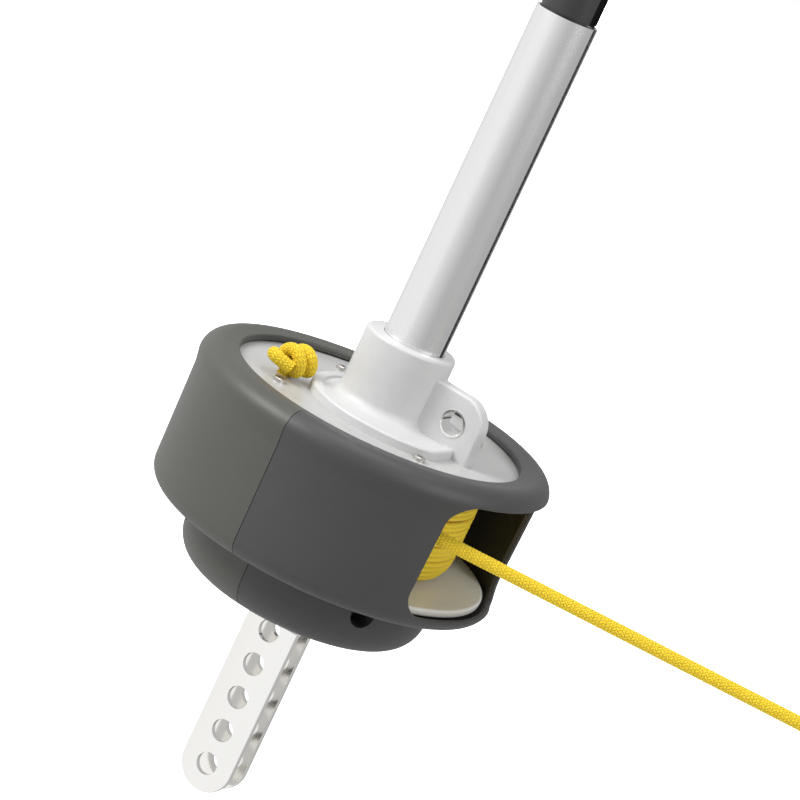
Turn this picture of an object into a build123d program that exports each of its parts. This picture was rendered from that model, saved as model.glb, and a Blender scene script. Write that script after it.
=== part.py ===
from build123d import *
import os
from math import cos, pi, radians, sin

# Roller furler for the forestay of a small cruising yacht: a line drum in a moulded housing,
# a foil that turns with it, and two link plates that hold it to the stem fitting.
# Millimetres. +Z runs up the stay, +X points aft, and the origin is the lowest pin hole.

# Stay, pins and clearances
stay_diameter = 6.0
stay_clearance = 0.25
pin_hole_radius = 5.25
rotating_gap = 0.3
seat_gap = 0.03
wall_gap = 0.5

# Link plates
hole_pitch = 17.1
hole_count = 7
link_width = 26.5
link_thickness = 2.7
link_gap = 10.4
link_top_margin = 9.4
link_top_corner = 3.0
link_edge_round = 0.5

# Yoke that carries the axle between the link plates
yoke_roof_gap = 0.3
yoke_web = 3.0
axle_grip = 11.7
yoke_boss_wall = 6.0
yoke_boss_height = 13.0
yoke_disc_radius = 42.7
yoke_disc_thickness = 14.0
yoke_edge_round = 1.5
yoke_foot_round = 1.2
yoke_top_round = 0.8
cheek_thickness = 9.0
cheek_side_margin = 3.75
cheek_below_hole = 9.5
cheek_round = 3.0
cheek_foot_round = 1.0

# Ball bearings, 30 mm bore
axle_radius = 15.0
axle_wall = 3.0
bearing_width = 9.0
bearing_spread = 25.0
inner_race_wall = 2.6
race_opening = 3.3
outer_race_wall = 2.6
ball_radius = 3.0
ball_count = 12
ball_gap = 0.1
cage_thickness = 2.4
cage_height = 6.6

# Spool
hub_wall = 7.5
hub_skirt = 5.4
hub_shoulder = 2.5
lower_flange_radius = 75.5
lower_flange_thickness = 3.6
upper_flange_step = 1.5
upper_flange_thickness = 5.0
top_plate_step = 0.5
top_plate_thickness = 2.0
flange_bore_gap = 5.0
flange_edge_round = 1.2
spool_bolt_count = 6
spool_bolt_radius = 2.5
spool_bolt_depth = 2.8

# Furling line and its winding
line_radius = 3.0
winding_radius = 58.0
winding_foot_round = 9.0
stopper_bearing = 213.0
stopper_gap = 5.7
knot_radius = 7.3
knot_length = 23.0
line_leave_bearing = -67.0
line_wrap_angle = 60.0
line_fall_angle = 2.0
line_height_below_plate = 21.0
line_straight_length = 228.0

# Housing
flange_side_gap = 2.5
flange_floor_gap = 3.0
housing_wall = 3.0
wall_draft = 1.1
rim_overhang = 2.7
rim_corner_rise = 4.9
rim_round = 8.2
rim_foot_drop = 11.0
rim_foot_round = 18.0
roof_round = 2.5
lip_overlap = 6.5
lip_gap = 0.8
lip_rise = 3.3
lip_edge_round = 1.1
ledge_round = 8.5
ledge_foot_round = 1.5
floor_round = 0.5
tier_radius = 58.3
tier_depth = 27.4
tier_round = 15.0
tier_draft = 0.8
parting_gap = 0.3
window_half_width = 44.5
window_corner = 11.0
window_sill_rise = 0.7
window_head_rise = 3.2
window_edge_round = 1.0
pocket_radius = 5.75
pocket_drop = 0.4
pocket_bearings = (35.0, -35.0, 145.0, -145.0)
pocket_wall = 2.2
pocket_floor = 3.0

# Foil socket with its tack ear
base_radius = 40.0
base_offset = 8.0
base_front = 33.0
base_corner = 9.0
base_thickness = 3.4
bead_rise = 0.9
bead_width = 5.6
bead_round = 1.4
collar_wall = 6.8
collar_height = 35.5
collar_round = 1.6
collar_cove = 5.0
socket_floor = 3.0
socket_bore_radius = 11.5
ear_thickness = 8.0
ear_margin = 13.6
ear_rise = 13.5
ear_corner = 13.0
ear_blend = 11.0
ear_root = 2.0
ear_edge_round = 1.3
tack_offset = 13.9
tack_height = 14.0
tack_bore_radius = 5.15
tack_bush_wall = 0.85
tack_bush_proud = 0.3

# Foil section and its joiner
foil_radius = 14.2
foil_offset = 1.0
foil_wall = 1.3
foil_clearance = 0.25
foil_above_collar = 155.5
luff_groove_radius = 3.25
luff_groove_wall = 1.4
luff_lip = 1.6
luff_mouth = 3.0
joiner_clearance = 0.1
joiner_inside = 60.0
joiner_outside = 30.0
joiner_bore_radius = 4.0
joiner_neck_width = 1.0
joiner_neck_depth = 0.6
bush_length = 15.0

# Fasteners: a head is given as its radius, its height and its hex socket across flats
screw_clearance = 0.1
set_screw_radius = 2.5
set_screw_socket = 2.5
set_screw_drop = 6.5
plate_screw_radius = 1.5
plate_screw_head = (2.75, 1.8, 2.0)
plate_screw_count = 4
plate_screw_distance = 50.5
plate_screw_bearing = 51.0
housing_screw_radius = 2.0
housing_screw_head = (3.1, 2.6, 2.5)
housing_screw_grip = 9.0
spool_bolt_head = (4.25, 3.0, 4.0)
spool_bolt_bearing = 30.0
joiner_screw_radius = 2.0
joiner_screw_head = 3.4
joiner_screw_cone = 1.3
joiner_screw_length = 6.5
joiner_screw_socket = 2.5
joiner_screw_bearing = 113.0
joiner_screw_drops = (20.0, 42.0)
clamp_screw_rises = (15.0, 27.0)
link_screw_step = 0.75
link_screw_socket = 5.0
link_screw_inset = 1.5
circlip_thickness = 1.5
circlip_depth = 1.0
circlip_width = 2.6
circlip_gap = 0.1
circlip_lug_radius = 2.0
circlip_lug_side = 5.6

# Radii and reaches that follow from the values above
link_screw_radius = pin_hole_radius + link_screw_step
cheek_half_width = link_width / 2 + cheek_side_margin
yoke_boss_radius = axle_radius + yoke_boss_wall
axle_bore_radius = axle_radius - axle_wall
inner_race_radius = axle_radius + inner_race_wall
outer_race_radius = inner_race_radius + race_opening
race_pitch_radius = (inner_race_radius + outer_race_radius) / 2
bearing_outer_radius = outer_race_radius + outer_race_wall
circlip_radius = axle_radius + circlip_width
hub_radius = bearing_outer_radius + hub_wall
hub_shoulder_radius = bearing_outer_radius - hub_shoulder
bolt_circle = (bearing_outer_radius + hub_radius) / 2
flange_bore_radius = axle_radius + flange_bore_gap
upper_flange_radius = lower_flange_radius - upper_flange_step
top_plate_radius = upper_flange_radius - top_plate_step
wall_inside = lower_flange_radius + flange_side_gap
wall_outside = wall_inside + housing_wall
rim_corner_radius = wall_outside + wall_draft + rim_overhang
lip_radius = top_plate_radius - lip_overlap
pocket_inner = yoke_disc_radius + rotating_gap
line_wrap_radius = winding_radius + rotating_gap + line_radius
collar_radius = foil_radius + collar_wall
tack_reach = collar_radius + tack_offset
ear_reach = tack_reach + ear_margin
stopper_distance = base_radius - base_offset + knot_radius + stopper_gap
foil_edge = foil_offset + foil_radius
foil_bore = foil_radius - foil_wall
groove_centre = foil_edge - luff_lip - luff_groove_radius
tack_bush_radius = tack_bore_radius + tack_bush_wall
housing_screw_tip = yoke_disc_radius - housing_screw_grip

# Heights that follow from the values above
link_top = (hole_count - 1) * hole_pitch + link_top_margin
link_outer = link_gap / 2 + link_thickness
slot_roof = link_top + yoke_roof_gap
axle_foot = slot_roof + yoke_web
boss_top = axle_foot + axle_grip
disc_top = boss_top - yoke_boss_height
disc_bottom = disc_top - yoke_disc_thickness
lower_bearing = boss_top
upper_bearing = lower_bearing + bearing_width + bearing_spread
hub_bottom = lower_bearing - hub_skirt
hub_top = upper_bearing + bearing_width
flange_bottom = hub_bottom - lower_flange_thickness
upper_flange_top = hub_top + upper_flange_thickness
plate_top = upper_flange_top + top_plate_thickness
axle_top = upper_flange_top - wall_gap
collar_top = plate_top + collar_height
foil_foot = plate_top + socket_floor
foil_top = collar_top + foil_above_collar

ledge_inside = flange_bottom - flange_floor_gap
ledge_under = ledge_inside - housing_wall
tier_bottom = ledge_under - tier_depth
line_height = plate_top - line_height_below_plate
link_screw_heights = [(hole_count - 2) * hole_pitch, (hole_count - 1) * hole_pitch]
set_screw_height = boss_top - set_screw_drop
housing_screw_height = ledge_under - pocket_drop - pocket_radius
window_sill = flange_bottom + window_sill_rise
window_head = hub_top + window_head_rise
clamp_heights = [plate_top + rise for rise in clamp_screw_rises]
joiner_screw_heights = [foil_top - drop for drop in joiner_screw_drops]


def turned(*corners):
    """Solid of revolution about Z from corners of radius, height and rounding."""
    points = [(radius, height) for radius, height, _ in corners]
    rounds = [rounding for *_, rounding in corners]
    return revolve(Plane.XZ * make_face(FilletPolyline(points, radius=rounds, close=True)), Axis.Z)


def ring(inner, outer, bottom, top, rounding=0.0):
    """Plain ring about Z."""
    return turned((inner, bottom, rounding), (outer, bottom, rounding), (outer, top, rounding),
                  (inner, top, rounding))


def rod(radius, start, end):
    """Round bar from one point to another."""
    path = Vector(*end) - Vector(*start)
    return extrude(Plane(start, z_dir=path) * Circle(radius), path.length)


def polar(distance, bearing, height):
    """Point at a distance from the stay in a compass direction about Z."""
    return (distance * cos(radians(bearing)), distance * sin(radians(bearing)), height)


def bearings(count, first=0.0):
    """Evenly spaced directions about Z."""
    return [first + 360 / count * index for index in range(count)]


def socket_screw(radius, length, head, start, direction):
    """Cap screw: its head stands on the start point and its shank runs along the direction."""
    head_radius, head_height, flats = head
    seat = Plane(start, z_dir=direction)
    shank = seat * extrude(Circle(radius), length)
    cap = seat.offset(-head_height) * extrude(Circle(head_radius), head_height)
    cap = chamfer(cap.edges().filter_by(GeomType.CIRCLE).sort_by(seat.location.z_axis)[0], 0.3)
    hexagon = RegularPolygon(flats / 2, 6, major_radius=False)
    recess = seat.offset(-head_height) * extrude(hexagon, head_height * 0.6)
    return shank + cap - recess


def grub_screw(radius, start, end, flats):
    """Headless screw from its tip to its driven end, which has a hex socket."""
    body = rod(radius, start, end)
    axis = Vector(*start) - Vector(*end)
    hexagon = RegularPolygon(flats / 2, 6, major_radius=False)
    return body - Plane(end, z_dir=axis) * extrude(hexagon, axis.length * 0.4)


# Link plates: flat bars with a row of pin holes, one each side of the stay
def link_plate(side):
    outline = Rectangle(link_width, link_top, align=(Align.CENTER, Align.MIN))
    outline = fillet(outline.vertices().group_by(Axis.Y)[-1], link_top_corner)
    outline += Circle(link_width / 2)
    bar = extrude(Plane.XZ * outline, link_thickness / 2, both=True)
    bar = fillet(bar.edges().group_by(Axis.Y)[0] + bar.edges().group_by(Axis.Y)[-1], link_edge_round)
    for index in range(hole_count):
        height = index * hole_pitch
        bar -= rod(pin_hole_radius, (0, -link_thickness, height), (0, link_thickness, height))
    return Pos(0, side * (link_gap + link_thickness) / 2, 0) * bar


# Yoke: a casting slotted right across for the link plates, with a boss for the axle tube
def lower_yoke():
    lowest = link_screw_heights[0] - cheek_below_hole
    depth = disc_bottom - lowest + 1
    half_depth = link_outer + cheek_thickness
    block = Box(2 * cheek_half_width, 2 * half_depth, depth,
                align=(Align.CENTER, Align.CENTER, Align.MIN))
    block = fillet(block.edges().filter_by(Axis.Z), cheek_round)
    block = fillet(block.faces().sort_by(Axis.Z)[0].edges(), cheek_foot_round)
    body = turned((0, disc_bottom, 0), (yoke_disc_radius, disc_bottom, yoke_edge_round),
                  (yoke_disc_radius, disc_top, yoke_edge_round),
                  (yoke_boss_radius, disc_top, yoke_foot_round),
                  (yoke_boss_radius, boss_top, yoke_top_round), (0, boss_top, 0))
    body += Pos(0, 0, lowest) * block
    body -= Box(3 * yoke_disc_radius, 2 * link_outer + 2 * seat_gap, slot_roof,
                align=(Align.CENTER, Align.CENTER, Align.MIN))
    body -= Pos(0, 0, axle_foot) * extrude(Circle(axle_radius + seat_gap), boss_top)
    body -= extrude(Circle(axle_bore_radius - 1), boss_top)
    for height in link_screw_heights:
        body -= rod(link_screw_radius, (0, -half_depth, height), (0, half_depth, height))
    body -= rod(set_screw_radius, (0, -yoke_boss_radius, set_screw_height),
                (0, yoke_boss_radius, set_screw_height))
    for bearing in pocket_bearings:
        body -= rod(housing_screw_radius, polar(housing_screw_tip, bearing, housing_screw_height),
                    polar(yoke_disc_radius + 1, bearing, housing_screw_height))
    return body


# Shoulder screws: each one threads into a cheek and its plain end fills a plate's hole
def link_screws():
    screws = []
    inner = link_gap / 2
    outer = link_outer + cheek_thickness - link_screw_inset
    for side in (-1, 1):
        for height in link_screw_heights:
            screw = grub_screw(link_screw_radius, (0, side * link_outer, height),
                               (0, side * outer, height), link_screw_socket)
            screw += rod(pin_hole_radius - seat_gap, (0, side * inner, height),
                         (0, side * link_outer, height))
            screws.append(screw)
    return Compound(children=screws)


# Axle: a stainless tube that the stay runs through and that both bearings sit on
def axle_tube():
    tube = ring(axle_bore_radius, axle_radius, axle_foot, axle_top, 0.5)
    groove = ring(axle_radius - circlip_depth, axle_radius + 1, hub_top + circlip_gap / 2,
                  hub_top + circlip_gap * 1.5 + circlip_thickness)
    return tube - groove


def axle_set_screws():
    return Compound(children=[
        grub_screw(set_screw_radius, polar(axle_radius + seat_gap, bearing, set_screw_height),
                   polar(yoke_boss_radius - wall_gap, bearing, set_screw_height), set_screw_socket)
        for bearing in (90, 270)])


def axle_circlip():
    bottom = hub_top + circlip_gap
    inner = axle_radius - circlip_depth + circlip_gap
    middle = (inner + circlip_radius) / 2
    clip = Circle(circlip_radius)
    clip -= Pos(circlip_radius, 0) * Rectangle(2 * circlip_radius, 2 * (circlip_lug_side - 1))
    for side in (-1, 1):
        clip += Pos(middle, side * circlip_lug_side) * Circle(circlip_lug_radius)
    clip -= Circle(inner)
    for side in (-1, 1):
        clip -= Pos(middle, side * circlip_lug_side) * Circle(circlip_lug_radius / 2)
    return Pos(0, 0, bottom) * extrude(clip, circlip_thickness)


# Ball bearings: two races, a cage and its balls, one at each end of the hub
def race_groove(height):
    middle = height + bearing_width / 2
    return Pos(0, 0, middle) * Torus(race_pitch_radius, ball_radius + ball_gap)


def inner_race(height):
    race = ring(axle_radius + seat_gap, inner_race_radius, height, height + bearing_width)
    return race - race_groove(height)


def outer_race(height):
    race = ring(outer_race_radius, bearing_outer_radius - seat_gap, height, height + bearing_width)
    return race - race_groove(height)


def balls(height):
    middle = height + bearing_width / 2
    return Compound(children=[Pos(*polar(race_pitch_radius, bearing, middle)) * Sphere(ball_radius)
                              for bearing in bearings(ball_count)])


def ball_cage(height):
    middle = height + bearing_width / 2
    cage = ring(race_pitch_radius - cage_thickness / 2, race_pitch_radius + cage_thickness / 2,
                middle - cage_height / 2, middle + cage_height / 2)
    for bearing in bearings(ball_count):
        cage -= rod(ball_radius + ball_gap, polar(race_pitch_radius / 2, bearing, middle),
                    polar(2 * race_pitch_radius, bearing, middle))
    return cage


def race_spacer():
    return ring(axle_radius + seat_gap, inner_race_radius - 0.3, lower_bearing + bearing_width,
                upper_bearing)


# Spool: a hub between two flanges, with a cover plate, drawn together by long bolts
def bolt_holes(radius, bottom, top):
    return [rod(radius, polar(bolt_circle, bearing, bottom), polar(bolt_circle, bearing, top))
            for bearing in bearings(spool_bolt_count, spool_bolt_bearing)]


def spool_hub():
    hub = ring(hub_shoulder_radius, hub_radius, hub_bottom, hub_top)
    hub -= ring(0.01, bearing_outer_radius, hub_bottom - 1, lower_bearing + bearing_width)
    hub -= ring(0.01, bearing_outer_radius, upper_bearing, hub_top + 1)
    return hub - bolt_holes(spool_bolt_radius + screw_clearance, hub_bottom - 1, hub_top + 1)


def lower_flange():
    disc = turned((bearing_outer_radius, flange_bottom, 0),
                  (lower_flange_radius, flange_bottom, flange_edge_round),
                  (lower_flange_radius, hub_bottom, flange_edge_round),
                  (bearing_outer_radius, hub_bottom, 0))
    return disc - bolt_holes(spool_bolt_radius + screw_clearance, flange_bottom - 1, hub_bottom + 1)


def disc_holes(disc, bottom, top, bolt_hole_radius, screw_hole_radius):
    """Bolt, screw and line holes that the upper flange and the cover plate share."""
    disc -= bolt_holes(bolt_hole_radius, bottom - 1, top + 1)
    for bearing in bearings(plate_screw_count, plate_screw_bearing):
        disc -= rod(screw_hole_radius, polar(plate_screw_distance, bearing, bottom - 1),
                    polar(plate_screw_distance, bearing, top + 1))
    return disc - rod(line_radius + wall_gap, polar(stopper_distance, stopper_bearing, bottom - 1),
                      polar(stopper_distance, stopper_bearing, top + 1))


def upper_flange():
    disc = turned((flange_bore_radius, hub_top, 0),
                  (upper_flange_radius, hub_top, flange_edge_round),
                  (upper_flange_radius, upper_flange_top, 0),
                  (flange_bore_radius, upper_flange_top, 0))
    return disc_holes(disc, hub_top, upper_flange_top, spool_bolt_radius + screw_clearance,
                      plate_screw_radius)


def top_plate():
    disc = turned((axle_radius + 1, upper_flange_top, 0), (top_plate_radius, upper_flange_top, 0),
                  (top_plate_radius, plate_top, 0.6), (axle_radius + 1, plate_top, 0))
    return disc_holes(disc, upper_flange_top, plate_top, spool_bolt_radius,
                      plate_screw_radius + screw_clearance)


def top_plate_screws():
    length = top_plate_thickness + upper_flange_thickness - wall_gap
    return Compound(children=[
        socket_screw(plate_screw_radius, length, plate_screw_head,
                     polar(plate_screw_distance, bearing, plate_top), (0, 0, -1))
        for bearing in bearings(plate_screw_count, plate_screw_bearing)])


def spool_bolts():
    length = plate_top + spool_bolt_depth - wall_gap - flange_bottom
    return Compound(children=[
        socket_screw(spool_bolt_radius, length, spool_bolt_head,
                     polar(bolt_circle, bearing, flange_bottom), (0, 0, 1))
        for bearing in bearings(spool_bolt_count, spool_bolt_bearing)])


# Foil socket: one casting with a beaded base, a collar for the foil and an ear for the tack
def socket_base():
    outline = Pos(base_offset, 0) * Circle(base_radius)
    outline &= Pos(base_front + base_offset - base_radius, 0) * Rectangle(2 * base_radius,
                                                                          2 * base_radius)
    outline = fillet(outline.vertices(), base_corner)
    bead = extrude(outline - offset(outline, -bead_width), base_thickness + bead_rise)
    bead = fillet(bead.faces().sort_by(Axis.Z)[-1].edges(), bead_round)
    return extrude(outline, base_thickness) + bead


def socket_ear():
    """The ear for the tack, which flows into the collar on both sides."""
    plan = Circle(collar_radius - ear_root)
    plan += Rectangle(ear_reach, ear_thickness, align=(Align.MIN, Align.CENTER))
    roots = [corner for corner in plan.vertices() if corner.X < collar_radius]
    plan = fillet(roots, ear_blend)
    top = tack_height + ear_rise
    profile = Rectangle(ear_reach + collar_radius, top, align=(Align.MIN, Align.MIN))
    profile = Pos(-collar_radius, 0) * profile
    outer_top = profile.vertices().group_by(Axis.X)[-1].sort_by(Axis.Y)[-1]
    profile = fillet(outer_top, ear_corner)
    ear = extrude(plan, top) & extrude(Plane.XZ * profile, collar_radius, both=True)
    outline = [face for face in ear.faces() if face.center().X > 0 and face.center().Z > 1
               and abs(face.normal_at().Y) < 1e-6]
    edges = [edge for face in outline for edge in face.edges()]
    rim = [edge for edge in edges if edge.center().Z > 1
           and sum((edge.center() - other.center()).length < 1e-4 for other in edges) == 1]
    return fillet(rim, ear_edge_round)


def foil_socket():
    column = turned((0, 0, 0), (collar_radius + collar_cove, 0, 0),
                    (collar_radius + collar_cove, base_thickness, 0),
                    (collar_radius, base_thickness, collar_cove - 0.5),
                    (collar_radius, collar_height, collar_round), (0, collar_height, 0))
    casting = socket_base() + column + socket_ear()
    casting -= extrude(Circle(socket_bore_radius), socket_floor)
    casting -= Pos(foil_offset, 0, socket_floor) * extrude(Circle(foil_radius + foil_clearance),
                                                           collar_height)
    casting -= rod(tack_bush_radius, (tack_reach, -ear_thickness, tack_height),
                   (tack_reach, ear_thickness, tack_height))
    casting = Pos(0, 0, plate_top) * casting
    casting -= bolt_holes(spool_bolt_radius, plate_top - 1, plate_top + spool_bolt_depth)
    for height in clamp_heights:
        casting -= rod(set_screw_radius, (0, 0, height), (-2 * collar_radius, 0, height))
    return casting


def foil_clamp_screws():
    tip = foil_offset - foil_radius - seat_gap
    return Compound(children=[
        grub_screw(set_screw_radius, (tip, 0, height), (wall_gap - collar_radius, 0, height),
                   set_screw_socket)
        for height in clamp_heights])


def tack_bush():
    half = ear_thickness / 2 + tack_bush_proud
    start = (tack_reach, -half, plate_top + tack_height)
    end = (tack_reach, half, plate_top + tack_height)
    return rod(tack_bush_radius, start, end) - rod(tack_bore_radius, start, end)


# Foil: an extrusion with the stay's chamber and a round luff groove that opens aft
def groove_tube(extra):
    return Pos(groove_centre, 0) * Circle(luff_groove_radius + luff_groove_wall + extra)


def foil_section():
    outer = Pos(foil_offset, 0) * Circle(foil_radius)
    section = outer - Pos(foil_offset, 0) * Circle(foil_bore)
    section += groove_tube(0) & outer
    section -= Pos(groove_centre, 0) * Circle(luff_groove_radius)
    section -= Pos(groove_centre, 0) * Rectangle(foil_radius, luff_mouth,
                                                 align=(Align.MIN, Align.CENTER))
    foil = Pos(0, 0, foil_foot) * extrude(section, foil_top - foil_foot)
    for height in joiner_screw_heights:
        foil -= joiner_screw(height, screw_clearance)
    return foil


def joiner_screw_seat(height):
    """Plane on the foil's outside, looking inward along a joiner screw."""
    outward = Vector(*polar(1, joiner_screw_bearing, 0))
    return Plane(Vector(foil_offset, 0, height) + outward * (foil_radius - seat_gap), z_dir=-outward)


def joiner_screw(height, extra=0.0):
    """Countersunk screw through the foil's wall, flush with its outside."""
    cone = Cone(joiner_screw_head + extra, joiner_screw_radius + extra, joiner_screw_cone,
                align=(Align.CENTER, Align.CENTER, Align.MIN))
    shank = extrude(Circle(joiner_screw_radius + extra), joiner_screw_length + extra)
    return joiner_screw_seat(height) * (cone + shank)


def joiner_screws():
    hexagon = RegularPolygon(joiner_screw_socket / 2, 6, major_radius=False)
    socket = extrude(hexagon, 1.5 * joiner_screw_cone)
    return Compound(children=[joiner_screw(height) - joiner_screw_seat(height) * socket
                              for height in joiner_screw_heights])


def insert_section(bore_radius):
    """Section of a piece that fills the foil's chamber round the stay."""
    section = Pos(foil_offset, 0) * Circle(foil_bore - joiner_clearance)
    return section - groove_tube(joiner_clearance) - Circle(bore_radius)


def foil_joiner():
    length = joiner_inside + joiner_outside
    joiner = Pos(0, 0, foil_top - joiner_inside) * extrude(insert_section(joiner_bore_radius), length)
    outside = foil_bore - joiner_clearance
    joiner -= Pos(foil_offset, 0, 0) * ring(outside - joiner_neck_depth, outside + 1, foil_top,
                                            foil_top + joiner_neck_width)
    for height in joiner_screw_heights:
        joiner -= joiner_screw(height)
    return joiner


def stay_bush():
    section = insert_section(stay_diameter / 2 + stay_clearance)
    return Pos(0, 0, foil_foot + rotating_gap) * extrude(section, bush_length)


# Housing: two moulded halves that meet at X = 0, with a window for the line in the aft one
def housing_shell():
    foot = plate_top - rim_foot_drop
    outside = turned((0, tier_bottom, 0), (tier_radius - tier_draft, tier_bottom, tier_round),
                     (tier_radius, ledge_under, ledge_foot_round),
                     (wall_outside, ledge_under, ledge_round),
                     (wall_outside + wall_draft, foot, rim_foot_round),
                     (rim_corner_radius, plate_top + rim_corner_rise, rim_round),
                     (lip_radius, plate_top + lip_rise, lip_edge_round),
                     (lip_radius, plate_top + lip_gap, 0), (0, plate_top + lip_gap, 0))
    inner_tier = tier_radius - housing_wall
    inside = turned((0, tier_bottom + housing_wall, 0),
                    (inner_tier - tier_draft, tier_bottom + housing_wall, tier_round - housing_wall),
                    (inner_tier, ledge_inside, floor_round),
                    (wall_inside, ledge_inside, ledge_round - housing_wall),
                    (wall_inside + wall_draft, plate_top + lip_gap, roof_round),
                    (0, plate_top + lip_gap, 0))
    return outside - inside


def housing():
    shell = housing_shell()
    outer_end = tier_radius - housing_wall / 2
    for bearing in pocket_bearings:
        shell += rod(pocket_radius + pocket_wall, polar(pocket_inner, bearing, housing_screw_height),
                     polar(outer_end, bearing, housing_screw_height))
    for bearing in pocket_bearings:
        shell -= rod(pocket_radius, polar(pocket_inner + pocket_floor, bearing, housing_screw_height),
                     polar(tier_radius + housing_wall, bearing, housing_screw_height))
        shell -= rod(housing_screw_radius + screw_clearance, (0, 0, housing_screw_height),
                     polar(tier_radius, bearing, housing_screw_height))
    opening = Plane.YZ * RectangleRounded(2 * window_half_width, window_head - window_sill,
                                          window_corner)
    middle = (window_head + window_sill) / 2
    shell -= Pos(lip_radius / 2, 0, middle) * extrude(opening, 2 * lip_radius)
    throat = 2 * (cheek_half_width + 1)
    depth = 2 * (link_outer + cheek_thickness + 1)
    floor_cut = extrude(RectangleRounded(throat, depth, cheek_round + 1), ledge_under - tier_bottom)
    return shell - Pos(0, 0, tier_bottom - housing_wall) * floor_cut


def housing_half(shell, side):
    reach = 2 * rim_corner_radius
    keep = Pos(side * parting_gap / 2, 0, 0) * Box(
        reach, 2 * reach, 2 * plate_top + reach,
        align=(Align.MIN if side > 0 else Align.MAX, Align.CENTER, Align.CENTER))
    return shell & keep


def housing_aft(shell):
    """The aft half, with the rim of its window rounded inside and out."""
    half = housing_half(shell, 1)
    reveals = [face for face in half.faces()
               if face.center().X > window_half_width
               and abs(face.normal_at().X) < 1e-6
               and window_sill - 1 < face.center().Z < window_head + 1
               and abs(face.center().Y) < window_half_width + 1]
    edges = [edge for face in reveals for edge in face.edges()]
    rim = [edge for edge in edges
           if sum((edge.center() - other.center()).length < 1e-4 for other in edges) == 1]
    return fillet(rim, window_edge_round)


def housing_screws():
    return Compound(children=[
        socket_screw(housing_screw_radius, pocket_inner + pocket_floor - housing_screw_tip - wall_gap,
                     housing_screw_head,
                     polar(pocket_inner + pocket_floor, bearing, housing_screw_height),
                     Vector(*polar(-1, bearing, 0)))
        for bearing in pocket_bearings])


# Furling line: the turns on the spool, the knot that ties them to it, and the free end
def line_winding():
    return turned((hub_radius + rotating_gap / 2, hub_bottom + rotating_gap / 2, 0),
                  (winding_radius, hub_bottom + rotating_gap / 2, winding_foot_round),
                  (winding_radius, hub_top - rotating_gap / 2, 1.5),
                  (hub_radius + rotating_gap / 2, hub_top - rotating_gap / 2, 0))


def stopper_knot():
    centre = Vector(*polar(stopper_distance, stopper_bearing, plate_top + knot_radius + rotating_gap))
    along = Vector(*polar(1, line_leave_bearing + 90, 0))
    half = knot_length / 2 - knot_radius
    barrel = rod(knot_radius, centre - along * half, centre + along * half)
    for side in (-1, 1):
        barrel += Pos(*(centre + along * side * half)) * Sphere(knot_radius)
    lead_foot = polar(stopper_distance, stopper_bearing, hub_top + rotating_gap)
    return barrel + rod(line_radius - 0.1, lead_foot, centre)


def line_frame():
    """Tilted plane of the free line: X points out of the drum where the line leaves it."""
    outward = Vector(*polar(1, line_leave_bearing, 0))
    upright = Vector(0, 0, 1).rotate(Axis((0, 0, 0), outward), -line_fall_angle)
    return Plane(origin=(0, 0, line_height), x_dir=outward, z_dir=upright)


def furling_line():
    """The free line: it wraps the winding, then runs straight and taut."""
    section = Pos(line_wrap_radius, 0) * Circle(line_radius)
    wrap = revolve(Plane.XZ * section, Axis.Z, line_wrap_angle)
    wrap = Rot(0, 0, -line_wrap_angle) * wrap
    straight = rod(line_radius, (line_wrap_radius, 0, 0), (line_wrap_radius, line_straight_length, 0))
    return line_frame() * (wrap + straight)


def line_end_knot():
    """Stopper at the free end, round the line's own axis."""
    barrel = turned((0, 0, 0), (line_radius, 0, 0), (knot_radius, 3.5, 3.0),
                    (knot_radius, knot_length - 3.5, 3.0), (line_radius, knot_length, 1.0),
                    (0, knot_length, 0))
    end = Pos(line_wrap_radius, line_straight_length, 0) * Rot(-90, 0, 0)
    return line_frame() * (end * barrel)


shell = housing()
nodes = {
    "link_plate_port": link_plate(-1),
    "link_plate_starboard": link_plate(1),
    "lower_yoke": lower_yoke(),
    "link_screws": link_screws(),
    "axle_tube": axle_tube(),
    "axle_set_screws": axle_set_screws(),
    "axle_circlip": axle_circlip(),
    "lower_inner_race": inner_race(lower_bearing),
    "upper_inner_race": inner_race(upper_bearing),
    "race_spacer": race_spacer(),
    "housing_aft": housing_aft(shell),
    "housing_fore": housing_half(shell, -1),
    "housing_screws": housing_screws(),
    "furling_line": furling_line(),
    "line_end_knot": line_end_knot(),
    "spool_hub": spool_hub(),
    "lower_flange": lower_flange(),
    "upper_flange": upper_flange(),
    "top_plate": top_plate(),
    "top_plate_screws": top_plate_screws(),
    "spool_bolts": spool_bolts(),
    "lower_outer_race": outer_race(lower_bearing),
    "upper_outer_race": outer_race(upper_bearing),
    "foil_socket": foil_socket(),
    "tack_bush": tack_bush(),
    "foil_clamp_screws": foil_clamp_screws(),
    "foil_section": foil_section(),
    "stay_bush": stay_bush(),
    "foil_joiner": foil_joiner(),
    "joiner_screws": joiner_screws(),
    "line_winding": line_winding(),
    "stopper_knot": stopper_knot(),
    "lower_ball_cage": ball_cage(lower_bearing),
    "lower_balls": balls(lower_bearing),
    "upper_ball_cage": ball_cage(upper_bearing),
    "upper_balls": balls(upper_bearing),
}

os.makedirs("parts", exist_ok=True)
for name, shape in nodes.items():
    export_step(shape, f"parts/{name}.step")

line_length = radians(line_wrap_angle) * line_wrap_radius + line_straight_length
print("furling line bend radius", round(line_wrap_radius, 1), "length", round(line_length, 1))
print("furling line volume", round(nodes["furling_line"].volume),
      "section by length", round(pi * line_radius ** 2 * line_length))
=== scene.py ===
from math import cos, pi, radians, sin, sqrt

import bpy
from mathutils import Matrix, Vector, noise


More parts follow.
